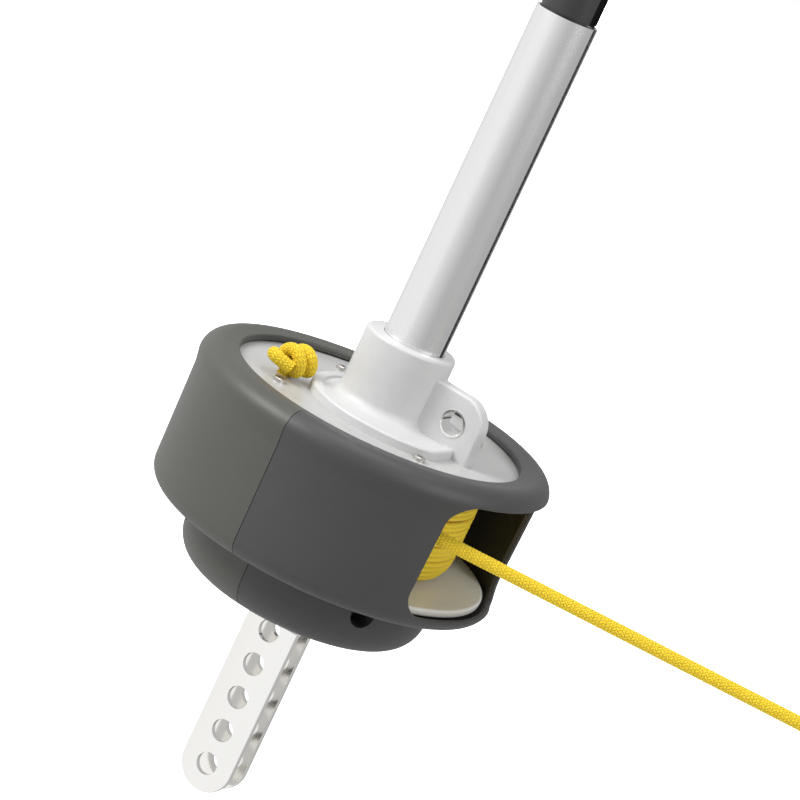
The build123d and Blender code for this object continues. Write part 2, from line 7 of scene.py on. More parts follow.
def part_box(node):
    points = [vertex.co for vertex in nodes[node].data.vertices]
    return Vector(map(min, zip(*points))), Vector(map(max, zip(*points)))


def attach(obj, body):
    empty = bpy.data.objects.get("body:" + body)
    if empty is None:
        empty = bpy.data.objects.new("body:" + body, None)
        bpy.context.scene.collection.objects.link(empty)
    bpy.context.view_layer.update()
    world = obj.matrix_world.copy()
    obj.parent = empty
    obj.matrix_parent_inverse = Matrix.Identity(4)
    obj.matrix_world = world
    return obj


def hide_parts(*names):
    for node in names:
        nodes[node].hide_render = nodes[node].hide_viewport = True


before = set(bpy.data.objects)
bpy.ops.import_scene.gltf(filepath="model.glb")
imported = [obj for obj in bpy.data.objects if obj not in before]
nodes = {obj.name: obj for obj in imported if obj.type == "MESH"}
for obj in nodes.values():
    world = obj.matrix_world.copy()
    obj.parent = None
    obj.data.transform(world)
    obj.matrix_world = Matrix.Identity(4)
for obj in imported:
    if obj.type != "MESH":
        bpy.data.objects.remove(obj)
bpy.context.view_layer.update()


# Link plates
# Two stainless strips with a row of clevis holes, cut from sheet and polished to a mirror.
# Their upper ends go into the yoke; the lowest hole takes the pin of the boat's stem fitting.
def add(tree, kind, **settings):
    """A node of a tree, with its own properties and the values of its inputs by name."""
    node = tree.nodes.new(kind)
    for name, value in settings.items():
        if name in node.inputs:
            node.inputs[name].default_value = value
        else:
            setattr(node, name, value)
    return node


def feed(tree, target, value):
    """Gives an input socket a link or a plain value."""
    if isinstance(value, bpy.types.NodeSocket):
        tree.links.new(value, target)
    else:
        target.default_value = value


def calc(tree, operation, *values, clamp=False):
    """One step of arithmetic on sockets or numbers."""
    node = add(tree, "ShaderNodeMath", operation=operation, use_clamp=clamp)
    for target, value in zip(node.inputs, values):
        feed(tree, target, value)
    return node.outputs[0]


def shade_between(tree, factor, dark, light):
    """Colour that goes from dark to light as the factor goes from 0 to 1."""
    mix = add(tree, "ShaderNodeMix", data_type="RGBA", clamp_factor=True)
    feed(tree, mix.inputs["Factor"], factor)
    feed(tree, mix.inputs["A"], dark)
    feed(tree, mix.inputs["B"], light)
    return mix.outputs["Result"]


def rough_between(tree, factor, low, high):
    """Roughness that goes from low to high as the factor goes from 0 to 1."""
    span = add(tree, "ShaderNodeMapRange")
    feed(tree, span.inputs["Value"], factor)
    span.inputs["To Min"].default_value = low
    span.inputs["To Max"].default_value = high
    return span.outputs["Result"]


def sockets_of(tree, inputs, outputs):
    """Names the inputs and outputs of a node group."""
    for name, kind, value in inputs:
        socket = tree.interface.new_socket(name, in_out="INPUT", socket_type="NodeSocket" + kind)
        if value is not None:
            socket.default_value = value
    for name, kind in outputs:
        tree.interface.new_socket(name, in_out="OUTPUT", socket_type="NodeSocket" + kind)
    return add(tree, "NodeGroupInput"), add(tree, "NodeGroupOutput")


def surface(name, **settings):
    """A material with its shader; constants are set on the shader's own sockets."""
    material = bpy.data.materials.new(name)
    material.use_nodes = True
    shader = material.node_tree.nodes["Principled BSDF"]
    for socket, value in settings.items():
        shader.inputs[socket.replace("_", " ")].default_value = value
    return material, material.node_tree, shader


def object_point(tree, scale=(1, 1, 1)):
    """Object coordinates, stretched by a scale along each axis."""
    where = add(tree, "ShaderNodeTexCoord")
    mapping = add(tree, "ShaderNodeMapping", Scale=scale)
    tree.links.new(where.outputs["Object"], mapping.inputs["Vector"])
    return mapping.outputs["Vector"]


def placed(tree, group, **values):
    """A shader node group, placed in a material with its own values."""
    node = add(tree, "ShaderNodeGroup", node_tree=group)
    for name, value in values.items():
        feed(tree, node.inputs[name.replace("_", " ")], value)
    return node


def bumped(tree, shader, height, depth, strength=1.0):
    """Relief on a surface, as a depth in metres."""
    bump = add(tree, "ShaderNodeBump", Strength=strength, Distance=depth)
    feed(tree, bump.inputs["Height"], height)
    tree.links.new(bump.outputs["Normal"], shader.inputs["Normal"])


def dress(tree, shader, marks, tint_by, dark, light, rough_by, smooth, rough, relief, depth,
          strength):
    """Colour, roughness and relief of a surface, each from one output of its marks."""
    tint = shade_between(tree, marks.outputs[tint_by], (*dark, 1), (*light, 1))
    tree.links.new(tint, shader.inputs["Base Color"])
    roughness = rough_between(tree, marks.outputs[rough_by], smooth, rough)
    tree.links.new(roughness, shader.inputs["Roughness"])
    bumped(tree, shader, marks.outputs[relief], depth, strength)


def finish_nodes(names, material):
    """Gives CAD nodes their finish."""
    for name in names:
        item = nodes[name]
        item.data.materials.clear()
        item.data.materials.append(material)


def make_line_marks():
    """Marks that metal gets from its making: fine lines along one direction, and faint clouds."""
    group = bpy.data.node_groups.new("line_marks", "ShaderNodeTree")
    inside, out = sockets_of(group, (("Vector", "Vector", None), ("Fineness", "Float", 900.0),
                                     ("Clouds", "Float", 40.0)),
                             (("Lines", "Float"), ("Cloud", "Float")))
    fine = add(group, "ShaderNodeTexNoise", Detail=3.0, Roughness=0.6)
    cloud = add(group, "ShaderNodeTexNoise", Detail=2.0, Roughness=0.5)
    for node, scale in ((fine, "Fineness"), (cloud, "Clouds")):
        group.links.new(inside.outputs["Vector"], node.inputs["Vector"])
        group.links.new(inside.outputs[scale], node.inputs["Scale"])
    group.links.new(fine.outputs["Fac"], out.inputs["Lines"])
    group.links.new(cloud.outputs["Fac"], out.inputs["Cloud"])
    return group


line_marks = make_line_marks()


def polished_steel():
    """Sheet steel polished along its length, close to a mirror."""
    material, tree, shader = surface("polished_steel", Metallic=1.0, Specular_IOR_Level=0.5)
    marks = placed(tree, line_marks, Vector=object_point(tree, (1.0, 1.0, 0.06)), Fineness=1500.0,
                   Clouds=60.0)
    dress(tree, shader, marks, tint_by="Cloud", dark=(0.84, 0.83, 0.80), light=(0.92, 0.915, 0.90),
          rough_by="Cloud", smooth=0.06, rough=0.16, relief="Lines", depth=0.00002, strength=0.25)
    return material


polished = polished_steel()
finish_nodes(("link_plate_port", "link_plate_starboard"), polished)


# Yoke and socket castings
# Aluminium castings in a light grey stove coat: the yoke that grips the axle between the plates,
# and the socket with its collar for the foil and its ear for the sail's tack.
def make_coat_skin():
    """Skin of a coat or blasted face: a slow flow and fine specks, summed as its height."""
    group = bpy.data.node_groups.new("coat_skin", "ShaderNodeTree")
    inside, out = sockets_of(group, (("Vector", "Vector", None), ("Flow", "Float", 160.0),
                                     ("Specks", "Float", 1400.0)),
                             (("Flow", "Float"), ("Height", "Float")))
    flow = add(group, "ShaderNodeTexNoise", Detail=2.0, Roughness=0.45)
    specks = add(group, "ShaderNodeTexNoise", Detail=2.0, Roughness=0.6)
    for node, scale in ((flow, "Flow"), (specks, "Specks")):
        group.links.new(inside.outputs["Vector"], node.inputs["Vector"])
        group.links.new(inside.outputs[scale], node.inputs["Scale"])
    speck_share = 0.25
    both = calc(group, "MULTIPLY_ADD", specks.outputs["Fac"], speck_share, flow.outputs["Fac"])
    group.links.new(flow.outputs["Fac"], out.inputs["Flow"])
    group.links.new(both, out.inputs["Height"])
    return group


coat_skin = make_coat_skin()


def stove_coat():
    """Light grey paint, baked on, with a thin clear gloss."""
    material, tree, shader = surface("stove_coat", Metallic=0.0, Coat_Weight=0.18,
                                     Coat_Roughness=0.22, Specular_IOR_Level=0.5)
    skin = placed(tree, coat_skin, Vector=object_point(tree))
    dress(tree, shader, skin, tint_by="Flow", dark=(0.60, 0.605, 0.605), light=(0.67, 0.67, 0.665),
          rough_by="Flow", smooth=0.40, rough=0.52, relief="Height", depth=0.00008, strength=0.3)
    return material


coated = stove_coat()
finish_nodes(("lower_yoke", "foil_socket"), coated)


# Stainless turned parts
# The axle tube, bearing races, circlip and every screw and bolt, turned from stainless steel and
# left bright. The screws and bolts hold the yoke, drum, socket and joiner together; the bush
# pressed into the tack ear is polished.
def turned_steel():
    """Steel as it comes from the lathe."""
    material, tree, shader = surface("turned_steel", Metallic=1.0)
    marks = placed(tree, line_marks, Vector=object_point(tree), Fineness=2600.0, Clouds=220.0)
    dress(tree, shader, marks, tint_by="Cloud", dark=(0.50, 0.48, 0.45), light=(0.68, 0.66, 0.63),
          rough_by="Lines", smooth=0.18, rough=0.36, relief="Lines", depth=0.00003, strength=0.3)
    return material


turned = turned_steel()
finish_nodes(("link_screws", "axle_tube", "axle_set_screws", "axle_circlip", "lower_inner_race",
              "upper_inner_race", "lower_outer_race", "upper_outer_race", "housing_screws",
              "top_plate_screws", "spool_bolts", "foil_clamp_screws", "joiner_screws"),
             turned)
finish_nodes(("tack_bush",), polished)


# Moulded plastics
# Hub and flanges in warm grey, bush and joiner in black, and the bearings' balls, cages and
# spacer in the plastic's own colour. All are injection moulded, with a fine grain; the long bolts
# clamp hub and flanges, and screws hold the joiner.
def make_moulded_skin():
    """Skin of a moulding: the mould's fine grain, and clouds where the plastic cooled unevenly."""
    group = bpy.data.node_groups.new("moulded_skin", "ShaderNodeTree")
    inside, out = sockets_of(group, (("Vector", "Vector", None), ("Grain", "Float", 2200.0),
                                     ("Clouds", "Float", 30.0)),
                             (("Grain", "Float"), ("Cloud", "Float")))
    grain = add(group, "ShaderNodeTexVoronoi", feature="SMOOTH_F1", Smoothness=0.6)
    cloud = add(group, "ShaderNodeTexNoise", Detail=3.0, Roughness=0.55)
    for node, scale in ((grain, "Grain"), (cloud, "Clouds")):
        group.links.new(inside.outputs["Vector"], node.inputs["Vector"])
        group.links.new(inside.outputs[scale], node.inputs["Scale"])
    group.links.new(grain.outputs["Distance"], out.inputs["Grain"])
    group.links.new(cloud.outputs["Fac"], out.inputs["Cloud"])
    return group


moulded_skin = make_moulded_skin()


def moulded(name, dark, light, smooth, rough, grain_depth):
    """Moulded plastic between two close shades and two roughnesses."""
    material, tree, shader = surface(name, Specular_IOR_Level=0.45)
    skin = placed(tree, moulded_skin, Vector=object_point(tree))
    dress(tree, shader, skin, tint_by="Cloud", dark=dark, light=light, rough_by="Cloud",
          smooth=smooth, rough=rough, relief="Grain", depth=grain_depth, strength=0.35)
    return material


flange_plastic = moulded("flange_plastic", dark=(0.68, 0.675, 0.62), light=(0.76, 0.755, 0.70),
                         smooth=0.30, rough=0.42, grain_depth=0.00004)
bearing_plastic = moulded("bearing_plastic", dark=(0.42, 0.38, 0.30), light=(0.52, 0.48, 0.39),
                          smooth=0.30, rough=0.42, grain_depth=0.00002)
joiner_plastic = moulded("joiner_plastic", dark=(0.022, 0.022, 0.023), light=(0.035, 0.035, 0.036),
                         smooth=0.38, rough=0.52, grain_depth=0.00005)
finish_nodes(("spool_hub", "lower_flange", "upper_flange"), flange_plastic)
finish_nodes(("race_spacer", "lower_ball_cage", "lower_balls", "upper_ball_cage", "upper_balls"),
             bearing_plastic)
finish_nodes(("stay_bush", "foil_joiner"), joiner_plastic)


# Cover plate
# A round aluminium plate that closes the drum under the socket, blasted and anodised pale grey.
# Cap screws hold it to the upper flange, and it turns with the spool.
def cover_finish():
    """Blasted and anodised face, which shines like a coat and not like bare metal."""
    material, tree, shader = surface("cover_finish", Metallic=0.0, Specular_IOR_Level=0.5)
    skin = placed(tree, coat_skin, Vector=object_point(tree), Flow=60.0, Specks=2600.0)
    dress(tree, shader, skin, tint_by="Flow", dark=(0.47, 0.47, 0.465), light=(0.53, 0.53, 0.525),
          rough_by="Flow", smooth=0.20, rough=0.28, relief="Height", depth=0.00004, strength=0.25)
    return material


finish_nodes(("top_plate",), cover_finish())


# Foil
# An aluminium extrusion round the stay, satin anodised: the die leaves faint straight lines along
# its length. The socket's collar grips its lower end with clamp screws.
def anodised():
    """Satin anodised metal with the die's lines along Z."""
    material, tree, shader = surface("anodised_satin", Metallic=1.0)
    marks = placed(tree, line_marks, Vector=object_point(tree, (1.0, 1.0, 0.004)), Fineness=2200.0,
                   Clouds=260.0)
    dress(tree, shader, marks, tint_by="Cloud", dark=(0.75, 0.755, 0.75), light=(0.84, 0.845, 0.84),
          rough_by="Lines", smooth=0.20, rough=0.32, relief="Lines", depth=0.00003, strength=0.35)
    return material


finish_nodes(("foil_section",), anodised())


# Housing
# Two halves moulded in dark grey plastic; the fore one is painted lighter and warmer, as painted
# light.
# They meet at a seam and are screwed to the yoke in round pockets.
aft_plastic = moulded("housing_plastic_aft", dark=(0.048, 0.048, 0.048),
                      light=(0.058, 0.058, 0.058), smooth=0.42, rough=0.52, grain_depth=0.00006)
# Painted light: the fore half is the same plastic, painted lighter and warmer for the brighter
# shading it shows.
fore_plastic_painted_lighter = moulded("housing_plastic_fore_painted_lighter", dark=(0.066, 0.066, 0.059),
                       light=(0.080, 0.080, 0.071), smooth=0.42, rough=0.52, grain_depth=0.00006)
finish_nodes(("housing_aft",), aft_plastic)
finish_nodes(("housing_fore",), fore_plastic_painted_lighter)


# Line on the spool
# Braided polyester line, 6 mm: 24 strands, twelve each way, each over two and under two.
# Its turns are pressed flat in layers on the hub, so each shows as a narrow band, edged with
# painted shade in the creases between turns; the lowest ones sit closer in, on the flange's foot.
line_radius = 0.003
strands_each_way = 12
braid_cell = 0.0015
braid_step = 0.0004
braid_sides = 60
braid_relief = 0.0004
relief_middle = 0.8
crown_power = 0.6
float_power = 0.5
seam_limit = 0.001


def braid_pattern(tree, around, along):
    """Height of the braid and which way its top strand runs, from counts around and along."""
    right = calc(tree, "ADD", around, along)
    left = calc(tree, "SUBTRACT", around, along)
    right_strand = calc(tree, "FLOOR", right)
    left_strand = calc(tree, "FLOOR", left)
    heights = []
    for own, strand, other, shift in ((right, right_strand, left, 0.0),
                                      (left, left_strand, right, 1.0)):
        across = calc(tree, "SUBTRACT", own, strand)
        arch = calc(tree, "SINE", calc(tree, "MULTIPLY", across, pi))
        crown = calc(tree, "POWER", arch, crown_power)
        passed = calc(tree, "SUBTRACT", calc(tree, "SUBTRACT", other, strand), shift)
        wave = calc(tree, "SINE", calc(tree, "MULTIPLY", passed, pi / 2))
        float_over = calc(tree, "POWER", calc(tree, "MAXIMUM", wave, 0.0), float_power)
        heights.append(calc(tree, "MULTIPLY", crown, float_over))
    height = calc(tree, "MAXIMUM", *heights)
    rightward = calc(tree, "GREATER_THAN", *heights)
    return height, rightward, (right, left)


def make_braided_line():
    """Geometry nodes that sweep a braid along a curve and count its cells in a UV map."""
    tree = bpy.data.node_groups.new("braided_line", "GeometryNodeTree")
    inside, out = sockets_of(
        tree,
        (("Geometry", "Geometry", None), ("Radius", "Float", line_radius),
         ("Step", "Float", braid_step), ("Sides", "Int", braid_sides),
         ("Strands each way", "Int", strands_each_way), ("Cell", "Float", braid_cell),
         ("Relief", "Float", braid_relief), ("Line", "Material", None)),
        (("Geometry", "Geometry"),))
    links = tree.links
    upright = add(tree, "GeometryNodeSetCurveNormal", mode="Z_UP")
    path = add(tree, "GeometryNodeResampleCurve", mode="LENGTH")
    links.new(inside.outputs["Geometry"], upright.inputs["Curve"])
    links.new(upright.outputs["Curve"], path.inputs["Curve"])
    links.new(inside.outputs["Step"], path.inputs["Length"])
    along = calc(tree, "DIVIDE", add(tree, "GeometryNodeSplineParameter").outputs["Length"],
                 inside.outputs["Cell"])
    counted_path = add(tree, "GeometryNodeStoreNamedAttribute", data_type="FLOAT", Name="along")
    links.new(path.outputs["Curve"], counted_path.inputs["Geometry"])
    links.new(along, counted_path.inputs["Value"])
    profile = add(tree, "GeometryNodeCurvePrimitiveCircle")
    links.new(inside.outputs["Sides"], profile.inputs["Resolution"])
    links.new(inside.outputs["Radius"], profile.inputs["Radius"])
    side = add(tree, "GeometryNodeInputIndex").outputs["Index"]
    share = calc(tree, "DIVIDE", side, inside.outputs["Sides"])
    around = calc(tree, "MULTIPLY", share, inside.outputs["Strands each way"])
    counted_profile = add(tree, "GeometryNodeStoreNamedAttribute", data_type="FLOAT", Name="around")
    links.new(profile.outputs["Curve"], counted_profile.inputs["Geometry"])
    links.new(around, counted_profile.inputs["Value"])
    swept = add(tree, "GeometryNodeCurveToMesh")
    swept.inputs["Fill Caps"].default_value = True
    links.new(counted_path.outputs["Geometry"], swept.inputs["Curve"])
    links.new(counted_profile.outputs["Geometry"], swept.inputs["Profile Curve"])

    here = {name: add(tree, "GeometryNodeInputNamedAttribute", data_type="FLOAT", Name=name)
            .outputs["Attribute"] for name in ("around", "along")}
    height = braid_pattern(tree, here["around"], here["along"])[0]
    above_middle = calc(tree, "SUBTRACT", height, relief_middle)
    rise = calc(tree, "MULTIPLY", above_middle, inside.outputs["Relief"])
    push = add(tree, "ShaderNodeVectorMath", operation="SCALE")
    links.new(add(tree, "GeometryNodeInputNormal").outputs["Normal"], push.inputs["Vector"])
    links.new(rise, push.inputs["Scale"])
    raised = add(tree, "GeometryNodeSetPosition")
    links.new(swept.outputs["Mesh"], raised.inputs["Geometry"])
    links.new(push.outputs["Vector"], raised.inputs["Offset"])

    face_mean = add(tree, "GeometryNodeFieldOnDomain", domain="FACE", data_type="FLOAT")
    links.new(here["around"], face_mean.inputs["Value"])
    at_seam = calc(tree, "MULTIPLY", calc(tree, "LESS_THAN", here["around"], seam_limit),
                   calc(tree, "GREATER_THAN", face_mean.outputs["Value"], 1.0))
    unwrapped = calc(tree, "MULTIPLY_ADD", at_seam, inside.outputs["Strands each way"],
                     here["around"])
    pair = add(tree, "ShaderNodeCombineXYZ")
    links.new(unwrapped, pair.inputs["X"])
    links.new(here["along"], pair.inputs["Y"])
    mapped = add(tree, "GeometryNodeStoreNamedAttribute", data_type="FLOAT2", domain="CORNER",
                 Name="line_uv")
    links.new(raised.outputs["Geometry"], mapped.inputs["Geometry"])
    links.new(pair.outputs["Vector"], mapped.inputs["Value"])
    smooth = add(tree, "GeometryNodeSetShadeSmooth")
    real = add(tree, "GeometryNodeRealizeInstances")
    painted = add(tree, "GeometryNodeSetMaterial")
    links.new(mapped.outputs["Geometry"], smooth.inputs["Geometry"])
    links.new(smooth.outputs["Geometry"], real.inputs["Geometry"])
    links.new(real.outputs["Geometry"], painted.inputs["Geometry"])
    links.new(inside.outputs["Line"], painted.inputs["Material"])
    links.new(painted.outputs["Geometry"], out.inputs["Geometry"])
    return tree


braided_line = make_braided_line()


def make_braid_look():
    """Shader group: the braid's height and plies from its UV map, and the fade of its dye."""
    group = bpy.data.node_groups.new("braid_look", "ShaderNodeTree")
    inside, out = sockets_of(group, (("UV", "Vector", None), ("Point", "Vector", None),
                                     ("Plies", "Float", 3.0), ("Fade", "Float", 500.0)),
                             (("Height", "Float"), ("Ply", "Float"), ("Fade", "Float")))
    counts = add(group, "ShaderNodeSeparateXYZ")
    group.links.new(inside.outputs["UV"], counts.inputs["Vector"])
    height, rightward, (right, left) = braid_pattern(group, counts.outputs["X"],
                                                     counts.outputs["Y"])
    chosen = add(group, "ShaderNodeMix", data_type="FLOAT")
    group.links.new(rightward, chosen.inputs["Factor"])
    group.links.new(left, chosen.inputs["A"])
    group.links.new(right, chosen.inputs["B"])
    turns = calc(group, "MULTIPLY", calc(group, "MULTIPLY", chosen.outputs["Result"], 2 * pi),
                 inside.outputs["Plies"])
    ply = calc(group, "MULTIPLY_ADD", calc(group, "COSINE", turns), -0.5, 0.5)
    fade = add(group, "ShaderNodeTexNoise", Detail=3.0)
    group.links.new(inside.outputs["Point"], fade.inputs["Vector"])
    group.links.new(inside.outputs["Fade"], fade.inputs["Scale"])
    group.links.new(height, out.inputs["Height"])
    group.links.new(ply, out.inputs["Ply"])
    group.links.new(fade.outputs["Fac"], out.inputs["Fade"])
    return group


braid_look = make_braid_look()


def yellow_line(name, painted_spool_shading=False):
    """Line's material: painted groove shade, painted ply highlight; on the spool, painted brighter
    with painted crease shade.
    """
    material, tree, shader = surface(name, Sheen_Weight=0.06, Sheen_Roughness=0.45,
                                     Specular_IOR_Level=0.2)
    if painted_spool_shading:
        # Painted light: on the spool the dye and the groove colour are painted brighter than on the
        # free line.
        faded, fresh = (0.98, 0.72, 0.003, 1), (1.0, 0.82, 0.010, 1)
        groove_painted_shade = (0.78, 0.46, 0.002, 1)
    else:
        faded, fresh = (0.94, 0.66, 0.003, 1), (0.99, 0.76, 0.007, 1)
        groove_painted_shade = (0.60, 0.29, 0.002, 1)
    ply_painted_highlight, ply_highlight_share, ply_height = (1.0, 0.88, 0.18, 1), 0.32, 0.18
    crease_painted_shade, crease_shade_share, crease_shade_power = (0.50, 0.20, 0.001, 1), 0.75, 3.0
    groove_shade_power = 0.7

    uv = add(tree, "ShaderNodeUVMap", uv_map="line_uv")
    look = placed(tree, braid_look, UV=uv.outputs["UV"], Point=object_point(tree))
    height, ply, fade = (look.outputs[name] for name in ("Height", "Ply", "Fade"))
    body = shade_between(tree, fade, faded, fresh)
    # Painted shade: the grooves between the strands are painted darker, by the braid's height.
    lit = shade_between(tree, calc(tree, "POWER", height, groove_shade_power), groove_painted_shade, body)
    # Painted highlight: the crest of each ply is painted towards pale yellow.
    yarn = shade_between(tree, calc(tree, "MULTIPLY", ply, ply_highlight_share), lit, ply_painted_highlight)
    if painted_spool_shading:
        # Painted shade: the top and bottom of each turn, where it meets its neighbours, are painted
        # darker.
        counts = add(tree, "ShaderNodeSeparateXYZ")
        tree.links.new(uv.outputs["UV"], counts.inputs["Vector"])
        angle = calc(tree, "MULTIPLY", counts.outputs["X"], 2 * pi / strands_each_way)
        side = calc(tree, "ABSOLUTE", calc(tree, "SINE", angle))
        crease_shade = calc(tree, "POWER", side, crease_shade_power)
        yarn = shade_between(tree, calc(tree, "MULTIPLY", crease_shade, crease_shade_share), yarn, crease_painted_shade)
    tree.links.new(yarn, shader.inputs["Base Color"])
    tree.links.new(rough_between(tree, fade, low=0.48, high=0.62), shader.inputs["Roughness"])
    relief = calc(tree, "MULTIPLY_ADD", ply, ply_height, height)
    bumped(tree, shader, relief, depth=0.00035, strength=0.8)
    return material


line_finish = yellow_line("yellow_line")
wound_line_painted_shading = yellow_line("yellow_line_on_spool_painted_shading", painted_spool_shading=True)


curve_order = 3
curve_detail = 16


def open_curve(name, points, detail=curve_detail):
    """An open, smooth curve along the points of a route, which touches its two ends."""
    curve = bpy.data.curves.new(name, "CURVE")
    curve.dimensions = "3D"
    spline = curve.splines.new("NURBS")
    spline.points.add(len(points) - 1)
    for point, place in zip(spline.points, points):
        point.co = (*place, 1)
    spline.order_u = curve_order
    spline.use_endpoint_u = True
    spline.resolution_u = detail
    item = bpy.data.objects.new(name, curve)
    bpy.context.scene.collection.objects.link(item)
    return item


def plain_mesh(item):
    """The evaluated object as a plain mesh object at the origin; the first one is removed."""
    name = item.name
    graph = bpy.context.evaluated_depsgraph_get()
    mesh = bpy.data.meshes.new_from_object(item.evaluated_get(graph))
    bpy.data.objects.remove(item)
    piece = bpy.data.objects.new(name, mesh)
    mesh.name = name
    bpy.context.scene.collection.objects.link(piece)
    return piece


def braided(name, points, step=braid_step, sides=braid_sides, relief=braid_relief,
            radius=line_radius, detail=curve_detail, finish=line_finish):
    """Braided line along a route, as a plain mesh."""
    item = open_curve(name, points, detail=detail)
    modifier = item.modifiers.new("braid", "NODES")
    modifier.node_group = braided_line
    identifiers = {socket.name: socket.identifier for socket in braided_line.interface.items_tree
                   if socket.in_out == "INPUT"}
    for label, value in (("Radius", radius), ("Step", step), ("Sides", sides), ("Relief", relief),
                         ("Line", finish)):
        modifier[identifiers[label]] = value
    return plain_mesh(item)


def polar(distance, bearing, height):
    """Point at a distance from the stay, in a direction about Z given in degrees."""
    return Vector((distance * cos(radians(bearing)), distance * sin(radians(bearing)), height))


winding_low, winding_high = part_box("line_winding")
winding_radius = winding_high.x
pressed_radius = 0.0015
line_seat = 0.0001
layer_turns = 19
points_per_turn = 24
step_over = 70.0
wander_pace = 0.21
wander_height = 0.0007
wander_depth = 0.0004
foot_follow = 0.75


def layer_route(radius, foot, first_bearing, seed):
    """One layer of turns: each turn lies flat and steps over to the next within a short arc."""
    bottom = winding_low.z + pressed_radius + line_seat
    top = winding_high.z - pressed_radius - line_seat
    pitch = (top - bottom) / (layer_turns - 1)
    points = []
    for index in range(layer_turns * points_per_turn + 1):
        bearing = index * 360.0 / points_per_turn
        turn, within = divmod(bearing, 360.0)
        climb = min(1.0, max(0.0, (within - 360.0 + step_over) / step_over))
        climb = climb * climb * (3 - 2 * climb)
        height = min(top, bottom + pitch * (turn + climb))
        wander = noise.noise(Vector((index * wander_pace, seed, 0.0)))
        foot_share = max(0.0, 1.0 - (height - bottom) / foot)
        inward = foot * (1 - sqrt(max(0.0, 1.0 - foot_share ** 2)))
        height = min(top, max(bottom, height + wander_height * wander))
        distance = radius - inward * foot_follow - wander_depth * (1 + wander)
        points.append(polar(distance, first_bearing + bearing, height))
    return points


outer_layer = layer_route(winding_radius - pressed_radius, foot=0.009, first_bearing=140.0,
                          seed=3.0)
winding = braided("wound_line", outer_layer, step=0.0012, sides=16, relief=0.0,
                  radius=pressed_radius, detail=3, finish=wound_line_painted_shading)
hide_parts("line_winding")
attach(winding, "spool")
under_depth = 2.6 * pressed_radius
under_layer = layer_route(winding_radius - under_depth, foot=0.008, first_bearing=320.0, seed=8.0)
under = braided("wound_line_under", under_layer, step=0.003, sides=12, relief=0.0,
                radius=pressed_radius, detail=2, finish=wound_line_painted_shading)
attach(under, "spool")


# Free line
# The same braided line: the last turn leaves the winding and runs straight to the cockpit, so it
# is taut. Here it ends in a stopper knot just outside the photograph.
leave_bearing = -67.0
wrap_angle = 60.0
line_fall = 2.0
line_height = 0.156
winding_gap = 0.0003
wrap_radius = winding_radius + winding_gap + line_radius
straight_length = 0.228
edge_run = 0.036
free_detail = 40
outward = polar(1, leave_bearing, 0)
tilt = Matrix.Rotation(radians(-line_fall), 4, outward)
line_frame = (Matrix.Translation((0, 0, line_height)) @ tilt
              @ Matrix.Rotation(radians(leave_bearing), 4, "Z"))
quarter_wrap = wrap_angle / 4
corner_reach = wrap_radius / cos(radians(quarter_wrap))
route = [line_frame @ place for place in (
    polar(wrap_radius, -wrap_angle, 0),
    polar(corner_reach, -3 * quarter_wrap, 0),
    polar(corner_reach, -quarter_wrap, 0),
    Vector((wrap_radius, edge_run, 0)),
    Vector((wrap_radius, straight_length, 0)))]
bare = open_curve("free_line_route", route, detail=free_detail)
graph = bpy.context.evaluated_depsgraph_get()
centreline = [vertex.co.copy() for vertex in
              bpy.data.meshes.new_from_object(bare.evaluated_get(graph)).vertices]
bpy.data.objects.remove(bare)
free_line = braided("free_line", route, detail=free_detail)
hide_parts("furling_line")
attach(free_line, "frame")


# Stopper knot of the free line
# The same line, wrapped three times round its own end and pulled tight.
# It stands for whatever holds the line outside the photograph.
end_core = 0.0043
end_overlap = 0.001
end_start = Vector((wrap_radius, straight_length - end_overlap, 0))
end_tightness = 0.98
end_wrap_steps = 36
end_first_angle = 90.0
end_wraps_angle = 1080.0
end_wraps_far = 0.0195
end_wraps_run = 0.016
end_points = [Vector(place) for place in
              ((0, 0, 0), (0, 0.006, 0), (0, 0.017, 0), (0, 0.0215, 0.001))]
for index in range(end_wrap_steps + 1):
    share = index / end_wrap_steps
    angle = radians(end_first_angle + end_wraps_angle * share)
    end_points.append(Vector((end_core * cos(angle), end_wraps_far - end_wraps_run * share,
                              end_core * sin(angle))))
end_route = [line_frame @ (end_start + place) for place in end_points]
end_knot = braided("line_stopper", end_route, step=0.0005, radius=line_radius * end_tightness)
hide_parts("line_end_knot")
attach(end_knot, "frame")


# Knot on the cover plate
# The line's inner end comes up through its hole in the plate and is tied off in a stopper knot:
# two wraps stand side by side, and the tail turns back and lies across in front of them.
plate_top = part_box("top_plate")[1].z
knot_turn = 66.0
knot_rise = 8.0
along_knot = polar(cos(radians(knot_rise)), knot_turn, sin(radians(knot_rise)))
across_knot = polar(1, knot_turn - 90.0, 0)
upright_knot = across_knot.cross(along_knot)
hole_distance, hole_bearing = 0.045, 213.0
knot_distance, knot_bearing, knot_lift = 0.046, 218.5, 0.0076
knot_hole = polar(hole_distance, hole_bearing, plate_top)
knot_place = polar(knot_distance, knot_bearing, plate_top + knot_lift)
hole_depths = (0.008, 0.003)
knot_core = 0.0047
core_share, core_growth = 0.96, 0.1
wrap_steps = 26
first_angle, wraps_angle = -60.0, 600.0
wraps_far, wraps_run = 0.0095, 0.0104
knot_points = [(0.0010, -0.0020, -0.0034)]
for index in range(wrap_steps + 1):
    share = index / wrap_steps
    angle = radians(first_angle + wraps_angle * share)
    wrap = knot_core * (core_share + core_growth * share)
    knot_points.append((wraps_far - wraps_run * share, wrap * cos(angle), wrap * sin(angle)))
tail_points = [(-0.0019, -0.0040, -0.0016), (-0.0040, -0.0038, -0.0008),
               (-0.0068, -0.0030, 0.0013), (-0.0086, -0.0012, 0.0024),
               (-0.0087, 0.0012, 0.0020), (-0.0068, 0.0034, 0.0009),
               (-0.0046, 0.0048, -0.0003), (-0.0032, 0.0057, -0.0012)]
